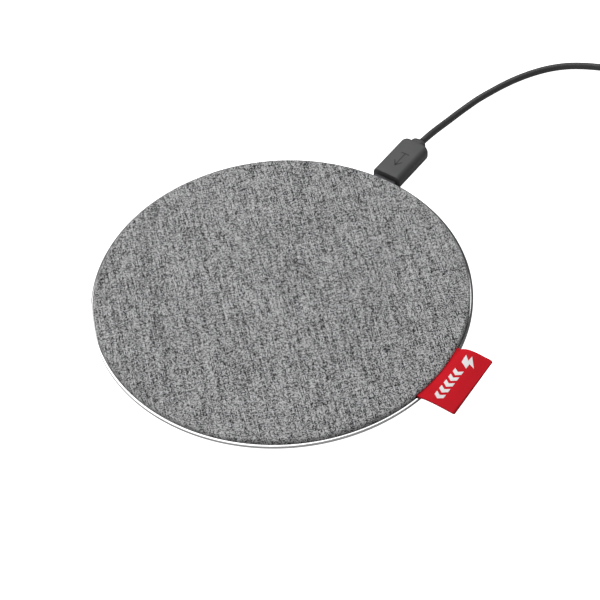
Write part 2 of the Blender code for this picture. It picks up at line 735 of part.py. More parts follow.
def make_usb_a(metal, plastic, rubber, gold):
    """Modelled along +Y from the cable end, then turned to the direction the lead leaves the coil in."""
    start, along = tail_frame()
    origin = start + along * 16.0 * MM + Vector((0.0, 0.0, USB_A_Z))
    turn = math.atan2(along.y, along.x) - math.pi / 2
    made = []
    thin_end, thick_end = 1.7 * MM, 2.9 * MM
    bm = bmesh.new()
    bmesh.ops.create_cone(
        bm, cap_ends=True, segments=12, radius1=thin_end, radius2=thick_end, depth=USB_A_RELIEF
    )
    bmesh.ops.rotate(bm, matrix=Matrix.Rotation(-math.pi / 2, 3, "X"), verts=bm.verts)
    bmesh.ops.translate(bm, vec=(0.0, USB_A_RELIEF / 2, 0.0), verts=bm.verts)
    made.append(smooth(add_object("usb_a_strain_relief", mesh_from("usb_a_strain_relief", bm), rubber)))
    front = USB_A_RELIEF + GAP
    body = box(
        "usb_a_overmould",
        (-USB_A_WIDTH / 2, front, -USB_A_HEIGHT / 2),
        (USB_A_WIDTH / 2, front + USB_A_LENGTH, USB_A_HEIGHT / 2),
        rubber,
    )
    made.append(smooth(bevel(body, 1.6 * MM, segments=3)))
    width, height, length = USB_A_SHELL
    wall = 0.35 * MM
    shell_start = front + USB_A_LENGTH + GAP
    shell_end = shell_start + length
    shell = box(
        "usb_a_shell",
        (-width / 2, shell_start, -height / 2),
        (width / 2, shell_end, height / 2),
        metal,
    )
    bevel(shell, 0.4 * MM, segments=2)
    hollow = box(
        "usb_a_hollow",
        (wall - width / 2, shell_start + 0.6 * MM, wall - height / 2),
        (width / 2 - wall, shell_end + 1 * MM, height / 2 - wall),
    )
    made += [boolean(shell, hollow), hollow]
    insert_top = 0.1 * MM
    made.append(
        box(
            "usb_a_insert",
            (0.3 * MM + wall - width / 2, shell_start + 0.9 * MM, wall + GAP - height / 2),
            (width / 2 - wall - 0.3 * MM, shell_end - 0.6 * MM, insert_top),
            plastic,
        )
    )
    for i, x in enumerate((-3.5, -1.0, 1.0, 3.5)):
        made.append(
            box(
                f"usb_a_contact_{i + 1}",
                ((x - 0.5) * MM, shell_end - 10.5 * MM, insert_top + 0.1 * MM),
                ((x + 0.5) * MM, shell_end - 2.0 * MM, insert_top + 0.35 * MM),
                gold,
            )
        )
    for obj in made:
        obj.location = origin
        obj.rotation_euler = (0.0, 0.0, turn)


def main():
    silicone = material("silicone_grey", (0.05, 0.05, 0.055), 0.75)
    housing = material("housing_black", (0.03, 0.03, 0.032), 0.5)
    bright = material("trim_polished", (0.8, 0.8, 0.82), 0.15, 1.0)
    inner_plastic = material("inner_plastic", (0.55, 0.55, 0.53), 0.5)
    fabric = material("fabric_grey", (0.23, 0.23, 0.235), 0.95)
    label = material("label_red", (0.6, 0.012, 0.03), 0.55)
    ferrite = material("ferrite_dark", (0.04, 0.04, 0.045), 0.4)
    copper = material("litz_copper", (0.72, 0.32, 0.14), 0.35, 1.0)
    board = material("board_green", (0.02, 0.16, 0.07), 0.35)
    chip = material("chip_black", (0.02, 0.02, 0.02), 0.45)
    ceramic = material("ceramic_tan", (0.5, 0.36, 0.22), 0.5)
    steel = material("connector_steel", (0.62, 0.62, 0.64), 0.3, 1.0)
    insulator = material("contact_plastic", (0.03, 0.03, 0.03), 0.5)
    white_block = material("usb_a_plastic", (0.75, 0.75, 0.75), 0.45)
    gold = material("contact_gold", (0.9, 0.65, 0.25), 0.25, 1.0)
    moulding = material("plug_moulding", (0.07, 0.07, 0.07), 0.5)
    jacket = material("cable_jacket", (0.03, 0.03, 0.03), 0.45)
    strap = material("tie_strap", (0.02, 0.02, 0.02), 0.8)

    make_disc(silicone)
    make_base(housing)
    make_trim_ring(bright)
    make_top_plate(inner_plastic)
    make_fabric(fabric)
    make_label(label)
    make_tray(inner_plastic)
    make_ferrite(ferrite)
    make_winding(copper)
    make_thermistor(chip)
    make_board(board)
    make_components(chip, ceramic, ferrite, steel)
    make_screws(steel)
    make_port(steel, insulator)
    make_plug(steel, insulator, moulding)
    make_cable(jacket)
    make_tie(*make_cable_coil(jacket), strap)
    make_usb_a(steel, white_block, moulding, gold)


main()
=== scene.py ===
"""The looks of a round wireless charging pad: a woven top, a polished trim ring, a folded side label and a
micro-USB lead wound up behind it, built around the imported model. Units are metres.
"""

import math

import bmesh
import bpy
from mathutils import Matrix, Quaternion, Vector, noise


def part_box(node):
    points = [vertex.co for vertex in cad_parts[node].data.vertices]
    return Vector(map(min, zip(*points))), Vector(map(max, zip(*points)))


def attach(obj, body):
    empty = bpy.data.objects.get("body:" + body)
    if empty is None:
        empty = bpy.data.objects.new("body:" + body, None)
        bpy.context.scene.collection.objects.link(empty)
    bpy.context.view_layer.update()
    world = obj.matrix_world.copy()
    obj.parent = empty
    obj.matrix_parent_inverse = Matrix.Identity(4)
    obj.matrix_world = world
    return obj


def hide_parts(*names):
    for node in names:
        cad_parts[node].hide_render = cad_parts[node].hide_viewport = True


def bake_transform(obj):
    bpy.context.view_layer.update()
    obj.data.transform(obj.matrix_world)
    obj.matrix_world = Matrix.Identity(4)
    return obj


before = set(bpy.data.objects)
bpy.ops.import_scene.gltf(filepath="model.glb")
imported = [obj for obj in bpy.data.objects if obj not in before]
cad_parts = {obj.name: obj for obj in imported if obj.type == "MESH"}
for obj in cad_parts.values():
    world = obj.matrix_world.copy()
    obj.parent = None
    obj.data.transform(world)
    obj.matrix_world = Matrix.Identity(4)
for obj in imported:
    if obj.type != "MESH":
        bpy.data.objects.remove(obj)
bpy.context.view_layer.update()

MM = 0.001
MERGE = 1e-7

# ---------------------------------------------------------------- places read from the frame

RING_LOW, RING_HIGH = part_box("trim_ring")
COVER_LOW, COVER_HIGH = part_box("fabric_cover")
BASE_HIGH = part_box("base_shell")[1]
DISC_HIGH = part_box("antislip_disc")[1]
ROOT_LOW, ROOT_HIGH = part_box("label_root")
TAB_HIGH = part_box("label_tab")[1]
PLUG_LOW, PLUG_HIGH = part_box("plug_overmould")
NECK_LOW, NECK_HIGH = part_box("plug_strain_relief")
PORT_LOW, PORT_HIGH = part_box("port_shell")
COIL_LOW, COIL_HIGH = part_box("cable_coil")

PAD_RADIUS = RING_HIGH.y
COVER_RADIUS = COVER_HIGH.y
COVER_TOP = COVER_HIGH.z
COVER_EDGE = 0.9 * MM  # the radius that the cloth turns down over
CLOTH_THICKNESS = 0.45 * MM
LABEL_HALF = (ROOT_HIGH.y - ROOT_LOW.y) / 2
LABEL_Y = (ROOT_HIGH.y + ROOT_LOW.y) / 2

# ---------------------------------------------------------------- the lead's route

CORD_DIAMETER = 2.2 * MM
CORD_ON_TABLE = 1.12 * MM  # the lead's middle where it lies on the table
COIL_CENTRE = Vector(((COIL_LOW.x + COIL_HIGH.x) / 2, (COIL_LOW.y + COIL_HIGH.y) / 2, 0.0))
CORD_ROUTE = [
    Vector(p) * MM
    for p in (
        (-2.7, 77.6, 3.3),
        (-2.6, 81.4, 2.95),
        (-2.46, 84.8, 2.5),
        (-2.25, 88.4, 1.95),
        (-1.95, 92.2, 1.46),
        (-1.5, 96.2, 1.18),
        (-0.75, 100.4, 1.12),
        (0.2, 105.0, 1.12),
        (1.7, 110.0, 1.12),
        (3.4, 115.0, 1.12),
        (5.6, 120.2, 1.12),
        (8.4, 125.3, 1.12),
        (11.8, 130.0, 1.12),
        (15.9, 134.0, 1.12),
        (20.5, 137.0, 1.12),
        (25.6, 139.5, 1.12),
        (31.0, 141.9, 1.12),
        (36.6, 144.3, 1.12),
        (42.2, 146.6, 1.12),
        (47.0, 148.2, 1.12),
        (51.6, 149.4, 1.12),
    )
]
LANES = 4
LANE_PITCH = 2.27 * MM
LAYER_PITCH = 2.05 * MM
LANE_MIDDLE = 12.5 * MM
TIE_ANGLE = 215
TAIL_ANGLE = 10
# Each move between turns: the turn's end, its first and last degree from there, lanes outward, layers up
COIL_MOVES = (
    (1, -105, -30, -1, 0),
    (2, -105, -30, -1, 0),
    (3, -105, -30, -1, 0),
    (4, -120, -45, 0, 1),
    (5, -135, -60, 1, 0),
    (6, -135, -60, 1, 0),
    (7, -135, -60, 1, 0),
    (8, -140, -65, 0, 2),
    (8, -25, 65, -2, 0),
    (8, 20, 90, 0, -1),
    (9, -105, -30, 1, 0),
    (10, -105, -30, 1, 0),
)
COIL_TURNS = 10
COIL_LAST = 360 * COIL_TURNS + 90 - TAIL_ANGLE  # degrees wound where the lead leaves the coil
STRAP_LIFT, STRAP_REACH = 0.85 * MM, 16  # how far the turns ride up over the tie, and over how many degrees


def ease(value, low, high):
    """0 before low, 1 after high, and a smooth rise between them."""
    share = min(1.0, max(0.0, (value - low) / (high - low)))
    return (1 - math.cos(math.pi * share)) / 2


def smooth_route(points, spacing):
    """Points about this far apart on a Catmull-Rom curve through the route's own points."""
    ends = [2 * points[0] - points[1]] + list(points) + [2 * points[-1] - points[-2]]
    found = [points[0]]
    for p0, p1, p2, p3 in zip(ends, ends[1:], ends[2:], ends[3:]):
        steps = max(1, round((p2 - p1).length / spacing))
        for i in range(1, steps + 1):
            t = i / steps
            bend = (2 * p0 - 5 * p1 + 4 * p2 - p3) * t * t + (3 * p1 - p0 - 3 * p2 + p3) * t**3
            found.append((2 * p1 + (p2 - p0) * t + bend) / 2)
    return found


def coil_point(degrees):
    """Where the wound lead is after this many degrees, clockwise from where it reaches the coil."""
    radius = LANE_MIDDLE + LANE_PITCH * (LANES - 1) / 2
    height = CORD_ON_TABLE
    for turn, first, last, lanes, layers in COIL_MOVES:
        moved = ease(degrees, 360 * turn + first, 360 * turn + last)
        radius += moved * lanes * LANE_PITCH
        height += moved * layers * LAYER_PITCH
    past_tie = (90 - degrees - TIE_ANGLE + 180) % 360 - 180
    strap_lift = STRAP_LIFT * math.exp(-((past_tie / STRAP_REACH) ** 2))
    angle = math.radians(90 - degrees)
    return COIL_CENTRE + Vector((radius * math.cos(angle), radius * math.sin(angle), height + strap_lift))


def tail_direction():
    """Which way the lead's last stretch runs, level with the table."""
    angle = math.radians(TAIL_ANGLE)
    return Vector((math.sin(angle), -math.cos(angle), 0.0))


def tail_points():
    """The last stretch, which comes down from the coil to the USB-A plug."""
    start = coil_point(COIL_LAST)
    heights = ((2.5, 5.22), (5.5, 5.2), (8.9, 5.0), (12.0, 4.4), (15.0, 3.98), (18.0, 3.9))
    return [start] + [
        Vector((start.x, start.y, 0.0)) + tail_direction() * along * MM + Vector((0.0, 0.0, z * MM))
        for along, z in heights
    ]


def lead_route():
    """The whole lead: the run over the table, the wound turns and the tail."""
    run_spacing, tail_spacing, step = 0.9 * MM, 1.2 * MM, 5
    run = smooth_route(CORD_ROUTE + [coil_point(0)], run_spacing)
    turns = [coil_point(d) for d in range(step, COIL_LAST, step)]
    return run + turns + smooth_route(tail_points(), tail_spacing)


# ---------------------------------------------------------------- mesh helpers


def add_mesh(name, bm):
    """A new object from the bmesh, with its close points merged and its faces turned outwards."""
    bmesh.ops.remove_doubles(bm, verts=bm.verts, dist=MERGE)
    bmesh.ops.recalc_face_normals(bm, faces=bm.faces)
    mesh = bpy.data.meshes.new(name)
    bm.to_mesh(mesh)
    bm.free()
    obj = bpy.data.objects.new(name, mesh)
    bpy.context.scene.collection.objects.link(obj)
    return obj


def skin(name, rows, wrap_rows=False, wrap_columns=False, caps=False):
    """Quads over rows of points. Wrapping joins the last row or column to the first."""
    bm = bmesh.new()
    grid = [[bm.verts.new(point) for point in row] for row in rows]
    count, width = len(grid), len(grid[0])
    for i in range(count if wrap_rows else count - 1):
        first, second = grid[i], grid[(i + 1) % count]
        for j in range(width if wrap_columns else width - 1):
            k = (j + 1) % width
            bm.faces.new((first[j], first[k], second[k], second[j]))
    if caps:
        bm.faces.new(grid[0])
        bm.faces.new(grid[-1])
    return add_mesh(name, bm)


def turned(name, profile, steps):
    """A solid of revolution from a closed (radius, height) profile."""
    angles = [math.tau * i / steps for i in range(steps)]
    rows = [[(r * math.cos(a), r * math.sin(a), z) for r, z in profile] for a in angles]
    return skin(name, rows, wrap_rows=True, wrap_columns=True)


def block(name, low, high, rounding=0.0):
    """A box between two corners, with its edges rounded if a rounding is given."""
    bm = bmesh.new()
    bmesh.ops.create_cube(bm, size=1.0)
    low, high = Vector(low), Vector(high)
    bmesh.ops.scale(bm, vec=high - low, verts=bm.verts)
    bmesh.ops.translate(bm, vec=(low + high) / 2, verts=bm.verts)
    if rounding:
        bmesh.ops.bevel(bm, geom=bm.edges[:], offset=rounding, segments=3, profile=0.5, affect="EDGES")
    return add_mesh(name, bm)


def rod(name, centre, radius, low, high):
    """An upright cylinder round the centre, between two heights."""
    bm = bmesh.new()
    bmesh.ops.create_cone(bm, cap_ends=True, segments=32, radius1=radius, radius2=radius, depth=high - low)
    bmesh.ops.translate(bm, vec=(centre[0], centre[1], (low + high) / 2), verts=bm.verts)
    return add_mesh(name, bm)


def apply_modifiers(obj):
    """Makes the object's modifiers part of its mesh."""
    graph = bpy.context.evaluated_depsgraph_get()
    mesh = bpy.data.meshes.new_from_object(obj.evaluated_get(graph))
    obj.modifiers.clear()
    obj.data = mesh


def combine(obj, other, operation="DIFFERENCE"):
    """Cuts the other shape from obj or joins it on, and removes the other."""
    modifier = obj.modifiers.new(operation.lower(), "BOOLEAN")
    modifier.operation = operation
    modifier.object = other
    apply_modifiers(obj)
    bpy.data.objects.remove(other)


def thicken(obj, thickness, offset):
    """Gives a sheet its thickness: inwards from its faces at offset -1, to both sides at 0."""
    modifier = obj.modifiers.new("thickness", "SOLIDIFY")
    modifier.thickness = thickness
    modifier.offset = offset
    modifier.use_even_offset = True
    apply_modifiers(obj)


def finish_piece(obj, material, body, nodes=(), angle=35):
    """Shades the piece, gives it its material and puts it on its body in place of its CAD nodes."""
    obj.data.shade_smooth()
    obj.data.set_sharp_from_angle(angle=math.radians(angle))
    obj.data.materials.clear()
    obj.data.materials.append(material)
    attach(obj, body)
    if nodes:
        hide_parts(*nodes)
    return obj


def rounded_outline(half_x, half_z, corner):
    """An outline round a rectangle with rounded corners, anticlockwise."""
    corner, steps = min(corner, half_x, half_z), 8
    found = []
    for sign_x, sign_z, first in ((1, -1, -90), (1, 1, 0), (-1, 1, 90), (-1, -1, 180)):
        for i in range(steps + 1):
            angle = math.radians(first + 90 * i / steps)
            x = sign_x * (half_x - corner) + corner * math.cos(angle)
            z = sign_z * (half_z - corner) + corner * math.sin(angle)
            found.append((x, z))
    return found


# ---------------------------------------------------------------- material helpers


class Surface:
    """A Principled material whose nodes are added one at a time."""

    def __init__(self, name, colour, roughness, metallic=0.0, **sockets):
        self.material = bpy.data.materials.new(name)
        self.material.use_nodes = True
        self.tree = self.material.node_tree
        self.shader = self.tree.nodes["Principled BSDF"]
        self.set("Base Color", (*colour, 1.0))
        self.set("Roughness", roughness)
        self.set("Metallic", metallic)
        for socket, value in sockets.items():
            self.set(socket.replace("_", " ").title().replace("Ior", "IOR"), value)
        self.place = self.add("TexCoord").outputs["Object"]

    def set(self, socket, value):
        """Gives the shader's socket a value, or links another node's socket to it."""
        if isinstance(value, bpy.types.NodeSocket):
            self.tree.links.new(value, self.shader.inputs[socket])
        else:
            self.shader.inputs[socket].default_value = value

    def add(self, kind, inputs=None, **settings):
        """A new node of this kind, whose inputs are values or other nodes' sockets."""
        node = self.tree.nodes.new("ShaderNode" + kind)
        for name, value in settings.items():
            setattr(node, name, value)
        for name, value in (inputs or {}).items():
            if isinstance(value, bpy.types.NodeSocket):
                self.tree.links.new(value, node.inputs[name])
            else:
                node.inputs[name].default_value = value
        return node

    def maths(self, operation, first, second=0.0, third=0.0):
        inputs = {0: first, 1: second, 2: third}
        return self.add("Math", inputs, operation=operation).outputs[0]

    def turned_place(self, degrees, scale, source=None):
        """The place turned about Z, then scaled along its own axes."""
        source = source or self.place
        first = self.add("Mapping", {"Vector": source, "Rotation": (0.0, 0.0, math.radians(-degrees))})
        second = self.add("Mapping", {"Vector": first.outputs[0], "Scale": scale})
        return second.outputs[0]

    def noise(self, vector, scale, detail=2.0, roughness=0.5):
        inputs = {"Vector": vector, "Scale": scale, "Detail": detail, "Roughness": roughness}
        return self.add("TexNoise", inputs).outputs["Fac"]

    def span(self, value, low, high, to_low=0.0, to_high=1.0):
        """The value's stretch from low to high, brought to another stretch and held within it."""
        names = ("Value", "From Min", "From Max", "To Min", "To Max")
        return self.add("MapRange", dict(zip(names, (value, low, high, to_low, to_high)))).outputs[0]

    def mix(self, share, first, second):
        """A colour between two, where each is a colour or a socket."""
        node = self.add("Mix", data_type="RGBA")
        wanted = (("Factor", share), ("A", first), ("B", second))
        for name, value in wanted:
            kinds = ("VALUE",) if name == "Factor" else ("RGBA",)
            socket = next(s for s in node.inputs if s.name == name and s.type in kinds)
            if isinstance(value, bpy.types.NodeSocket):
                self.tree.links.new(value, socket)
            else:
                socket.default_value = value if name == "Factor" else (*value, 1.0)
        return next(s for s in node.outputs if s.type == "RGBA")

    def bump(self, height, distance, strength):
        inputs = {"Height": height, "Distance": distance, "Strength": strength}
        return self.add("Bump", inputs).outputs[0]


def grey(value):
    """A neutral colour."""
    return (value, value, value)


# ---------------------------------------------------------------- materials

WEFT_AZIMUTH = 47.0
YARN_PITCH = 0.31 * MM


def woven_surface():
    """A plain weave of mottled yarns: each crossing shows mostly the yarn on top, in its own shades, with
    painted shade in the gaps between the yarns.

    The weave is laid out flat, so the place is unrolled round the edge: what hangs below the top lies
    that much further out.
    """
    look = Surface(
        "woven_grey", grey(0.24), 0.92, specular_ior_level=0.25, sheen_weight=0.12, sheen_roughness=0.5
    )
    drift = look.noise(look.place, 90.0, detail=1.0)
    slow_drift = look.maths("MULTIPLY", look.maths("SUBTRACT", drift, 0.5), 1.6)
    spot = look.add("SeparateXYZ", {0: look.place})
    flat = look.add("CombineXYZ", {0: spot.outputs[0], 1: spot.outputs[1]}).outputs[0]
    radius = look.add("VectorMath", {0: flat}, operation="LENGTH").outputs["Value"]
    drop = look.maths("DIVIDE", look.maths("SUBTRACT", COVER_TOP, spot.outputs[2]), radius)
    spread = {0: flat, "Scale": look.maths("ADD", drop, 1.0)}
    unrolled = look.add("VectorMath", spread, operation="SCALE").outputs[0]
    across = look.turned_place(WEFT_AZIMUTH, (1 / YARN_PITCH,) * 3, unrolled)
    parts = look.add("SeparateXYZ", {0: across})
    u = look.maths("ADD", parts.outputs[0], slow_drift)
    v = look.maths("ADD", parts.outputs[1], slow_drift)
    column, row = look.maths("FLOOR", u), look.maths("FLOOR", v)
    fraction_u, fraction_v = look.maths("FRACT", u), look.maths("FRACT", v)
    parity = look.maths("MODULO", look.maths("ABSOLUTE", look.maths("ADD", column, row)), 2.0)

    def yarn(index, along, offset, swing):
        """A yarn's shade: its own tone, long slubs of this swing along it, and short flecks."""
        own = look.add("TexWhiteNoise", {"W": look.maths("ADD", index, offset)}, noise_dimensions="1D")
        slub_x, slub_y = look.maths("MULTIPLY", index, 3.7), look.maths("MULTIPLY", along, 0.042)
        slub_key = look.add("CombineXYZ", {0: slub_x, 1: slub_y, 2: offset})
        slub = look.noise(slub_key.outputs[0], 1.0, detail=1.0)
        fleck_x, fleck_y = look.maths("MULTIPLY", index, 5.3), look.maths("MULTIPLY", along, 0.32)
        fleck_key = look.add("CombineXYZ", {0: fleck_x, 1: fleck_y, 2: offset})
        fleck = look.noise(fleck_key.outputs[0], 1.0, detail=2.0, roughness=0.7)
        tone = look.maths("MULTIPLY_ADD", own.outputs["Value"], 0.3, -0.15)
        tone = look.maths("ADD", tone, look.span(slub, 0.3, 0.7, -swing, swing))
        return look.maths("ADD", tone, look.span(fleck, 0.28, 0.72, -0.55, 0.55))

    warp = yarn(column, v, 11.3, 0.5)
    weft = yarn(row, u, 47.9, 0.3)
    on_top = look.maths("MULTIPLY_ADD", parity, 0.7, 0.05)
    shade = look.add("Mix", {"Factor": on_top, "A": warp, "B": weft}).outputs[0]
    cell = look.add("CombineXYZ", {0: column, 1: row})
    speck = look.add("TexWhiteNoise", {"Vector": cell.outputs[0]}, noise_dimensions="2D")
    shade = look.maths("ADD", shade, look.maths("MULTIPLY_ADD", speck.outputs["Value"], 1.3, -0.65))
    crown_u = look.maths("SINE", look.maths("MULTIPLY", fraction_u, math.pi))
    crown_v = look.maths("SINE", look.maths("MULTIPLY", fraction_v, math.pi))
    crown = look.maths("MULTIPLY", crown_u, crown_v)
    light = look.span(shade, -0.62, 0.8, 0.0, 1.0)
    tone = look.mix(light, grey(0.008), grey(0.74))
    # Painted shade: the colour darkens to near black in the gaps round each crossing's crown, where the
    # yarns would shade each other.
    gap = look.span(crown, 0.0, 0.5, 0.4, 0.0)
    look.set("Base Color", look.mix(gap, tone, grey(0.04)))
    fibre = look.noise(look.turned_place(WEFT_AZIMUTH, (1.0, 0.6, 1.0)), 9000.0, detail=1.0)
    height = look.maths("MULTIPLY_ADD", fibre, 0.25, crown)
    look.set("Normal", look.bump(height, 0.08 * MM, 0.8))
    return look.material


def polished_surface():
    """Bright metal with faint polishing marks."""
    look = Surface("polished_trim", grey(0.5), 0.13, metallic=1.0)
    marks = look.noise(look.turned_place(20, (1.0, 1.0, 12.0)), 900.0, detail=3.0)
    look.set("Roughness", look.span(marks, 0.3, 0.7, 0.09, 0.17))
    look.set("Normal", look.bump(marks, 0.002 * MM, 0.4))
    return look.material


def moulded_surface(name, tone, roughness, grain=2600.0, depth=0.012, **sockets):
    """A moulded plastic or rubber with a fine grain and a little variation in tone and gloss."""
    look = Surface(name, tone, roughness, **sockets)
    fine = look.noise(look.place, grain, detail=3.0, roughness=0.6)
    broad = look.noise(look.place, 120.0, detail=2.0)
    lighter = tuple(min(1.0, 1.25 * c + 0.004) for c in tone)
    look.set("Base Color", look.mix(look.span(broad, 0.3, 0.7, 0.0, 0.5), tone, lighter))
    look.set("Roughness", look.span(fine, 0.3, 0.7, roughness - 0.06, roughness + 0.06))
    look.set("Normal", look.bump(fine, depth * MM, 0.5))
    return look.material


def metal_surface(name, colour, roughness):
    """Plated or drawn metal, with faint draw lines."""
    look = Surface(name, colour, roughness, metallic=1.0)
    lines = look.noise(look.turned_place(90, (1.0, 14.0, 14.0)), 1400.0, detail=3.0)
    worn = look.noise(look.place, 260.0, detail=3.0)
    darker = tuple(0.78 * c for c in colour)
    look.set("Base Color", look.mix(look.span(worn, 0.45, 0.75, 0.0, 0.6), colour, darker))
    look.set("Roughness", look.span(lines, 0.3, 0.7, roughness - 0.05, roughness + 0.1))
    look.set("Normal", look.bump(lines, 0.003 * MM, 0.5))
    return look.material


def label_surface(name, tone, deep):
    """A close satin weave, ribbed across the ribbon, with painted shade along its fold."""
    look = Surface(name, tone, 0.75, specular_ior_level=0.12)
    waves = {"Vector": look.place, "Scale": 1400.0, "Distortion": 0.6, "Detail": 1.0}
    rib = look.add("TexWave", waves, bands_direction="X")
    thread = look.noise(look.turned_place(0, (1.0, 6.0, 1.0)), 1500.0, detail=2.0)
    cloud = look.noise(look.place, 110.0, detail=2.0)
    shade = look.maths("MULTIPLY_ADD", thread, 0.45, look.maths("MULTIPLY", cloud, 0.55))
    woven = look.mix(look.span(shade, 0.32, 0.68, 0.0, 1.0), deep, tone)
    out = look.add("SeparateXYZ", {0: look.place}).outputs[0]
    # Painted shade: the colour darkens over the last half millimetre before the fold.
    fold = look.span(out, TAB_HIGH.x - 0.5 * MM, TAB_HIGH.x - 0.15 * MM, 0.0, 0.65)
    look.set("Base Color", look.mix(fold, woven, tuple(0.3 * c for c in deep)))
    height = look.maths("MULTIPLY_ADD", thread, 0.6, rib.outputs["Fac"])
    look.set("Normal", look.bump(height, 0.02 * MM, 0.35))
    return look.material


def board_surface():
    """Solder mask with copper tracks showing through it."""
    mask = (0.012, 0.1, 0.045)
    look = Surface("board_green", mask, 0.3, coat_weight=0.4, coat_roughness=0.2)
    cells = look.add("TexVoronoi", {"Vector": look.place, "Scale": 420.0}, feature="DISTANCE_TO_EDGE")
    track = look.span(cells.outputs["Distance"], 0.04, 0.07, 1.0, 0.0)
    look.set("Base Color", look.mix(track, mask, (0.035, 0.19, 0.08)))
    look.set("Normal", look.bump(track, 0.02 * MM, 0.6))
    return look.material


def copper_surface():
    """A bundle of fine enamelled strands."""
    look = Surface("litz_copper", (0.72, 0.3, 0.12), 0.35, metallic=1.0)
    waves = {"Vector": look.place, "Scale": 2600.0, "Distortion": 3.0, "Detail": 2.0}
    strands = look.add("TexWave", waves, bands_direction="DIAGONAL")
    look.set("Base Color", look.mix(strands.outputs["Fac"], (0.4, 0.14, 0.05), (0.8, 0.36, 0.15)))
    look.set("Normal", look.bump(strands.outputs["Fac"], 0.03 * MM, 0.7))
    return look.material


def speckled_surface(name, tone, fleck, roughness, scale=3000.0):
    """A dull body with lighter flecks, as ferrite, ceramic and chip packages have."""
    look = Surface(name, tone, roughness)
    grain = look.noise(look.place, scale, detail=3.0, roughness=0.7)
    look.set("Base Color", look.mix(look.span(grain, 0.45, 0.7), tone, fleck))
    look.set("Normal", look.bump(grain, 0.01 * MM, 0.5))
    return look.material


def make_materials():
    """Every material, under the name that the pieces and CAD_LOOKS call it by."""
    return {
        "woven": woven_surface(),
        "polished": polished_surface(),
        "housing": moulded_surface("housing_black", grey(0.022), 0.48),
        "silicone": moulded_surface("silicone_grey", (0.045, 0.045, 0.048), 0.72, grain=1800.0, depth=0.03),
        "inner": moulded_surface("inner_plastic", (0.5, 0.5, 0.48), 0.5),
        "label": label_surface("label_red", (0.64, 0.008, 0.018), (0.50, 0.006, 0.014)),
        "label_mark": label_surface("label_white", (0.88, 0.86, 0.86), (0.76, 0.72, 0.73)),
        "moulding": moulded_surface("plug_moulding", grey(0.076), 0.5, specular_ior_level=0.32),
        # Painted shade: the arrow's black is darker than the grip's, standing in for the shade round its
        # strokes.
        "moulding_painted_shade": moulded_surface("plug_mark_painted_shade", grey(0.02), 0.6),
        "jacket": moulded_surface("cable_jacket", grey(0.04), 0.42),
        "strap": moulded_surface("tie_strap", grey(0.02), 0.85, grain=1200.0, depth=0.08),
        "steel": metal_surface("connector_steel", (0.62, 0.62, 0.64), 0.28),
        # Painted shade: the plug's shell gets a steel much darker than the other connectors', standing in
        # for the shade beside the grip's front.
        "plug_steel": metal_surface("plug_steel_painted_shade", (0.085, 0.085, 0.09), 0.36),
        "gold": metal_surface("contact_gold", (0.9, 0.66, 0.26), 0.25),
        "contact_plastic": moulded_surface("contact_plastic", grey(0.025), 0.5),
        "white_block": moulded_surface("usb_a_plastic", grey(0.72), 0.45),
        "board": board_surface(),
        "copper": copper_surface(),
        "ferrite": speckled_surface("ferrite_dark", grey(0.03), grey(0.075), 0.4),
        "chip": speckled_surface("chip_black", grey(0.018), grey(0.05), 0.45, 5000.0),
        "capacitor": speckled_surface("capacitor_tan", (0.44, 0.3, 0.17), (0.55, 0.4, 0.25), 0.45),
    }


# ---------------------------------------------------------------- camera

CAMERA_AZIMUTH = math.radians(38.48)


def make_camera():
    """A long lens at 48 degrees above the table, turned 38 degrees round the pad and rolled a little."""
    azimuth, elevation, roll = CAMERA_AZIMUTH, math.radians(48.35), math.radians(-3.81)
    distance = 573 * MM
    target = Vector((5.85 * MM, 0.93 * MM, 6.8 * MM))
    back = Vector(
        (
            math.sin(azimuth) * math.cos(elevation),
            -math.cos(azimuth) * math.cos(elevation),
            math.sin(elevation),
        )
    )
    data = bpy.data.cameras.new("camera")
    data.lens = 120.0
    data.sensor_width = 36.0
    data.shift_x, data.shift_y = 0.0004, 0.0008
    data.clip_start, data.clip_end = 10 * MM, 20.0
    camera = bpy.data.objects.new("camera", data)
    camera.rotation_mode = "QUATERNION"
    camera.location = target + distance * back
    camera.rotation_quaternion = (-back).to_track_quat("-Z", "Y") @ Quaternion((0, 0, 1), roll)
    bpy.context.scene.collection.objects.link(camera)
    bpy.context.scene.camera = camera


# ---------------------------------------------------------------- the lead

PLUG_SPREAD = 0.15 * MM  # half of what the grip is wider by than its CAD solid, all of it on the -X side
NECK_SECTIONS = (  # share of the neck's length, then how far its sides, top and bottom are sunk, in mm
    (0.0, 0.55, 0.5, 1.1),
    (0.05, 0.5, 0.48, 1.1),
    (0.1, 0.25, 0.3, 1.08),
    (0.16, 0.06, 0.22, 1.06),
    (0.26, 0.0, 0.24, 1.08),
    (0.42, 0.0, 0.4, 1.1),
    (0.58, 0.08, 0.52, 1.12),
    (0.72, 0.25, 0.7, 1.18),
    (0.84, 0.5, 0.95, 1.28),
    (0.93, 0.8, 1.18, 1.38),
    (1.0, 1.15, 1.35, 1.5),
)


def make_lead(material):
    """The whole lead as one tube, and its length."""
    curve = bpy.data.curves.new("lead_cord", "CURVE")
    curve.dimensions = "3D"
    curve.bevel_depth = CORD_DIAMETER / 2
    curve.bevel_resolution = 5
    curve.use_fill_caps = True
    route = lead_route()
    spline = curve.splines.new("POLY")
    spline.points.add(len(route) - 1)
    for point, place in zip(spline.points, route):
        point.co = (*place, 1.0)
    spline.use_smooth = True
    curve.materials.append(material)
    cord = bpy.data.objects.new("lead_cord", curve)
    bpy.context.scene.collection.objects.link(cord)
    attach(cord, "lead")
    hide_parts("cable_run", "cable_coil", "cable_tail")
    length = sum((b - a).length for a, b in zip(route, route[1:]))
    return cord, length


def plug_section(y, half_x, low_z, high_z, corner):
    """One outline across the plug at y, round its middle line."""
    centre_x = (PLUG_LOW.x + PLUG_HIGH.x) / 2 - PLUG_SPREAD
    middle, half_z = (low_z + high_z) / 2, (high_z - low_z) / 2
    return [(centre_x + x, y, middle + z) for x, z in rounded_outline(half_x, half_z, corner)]


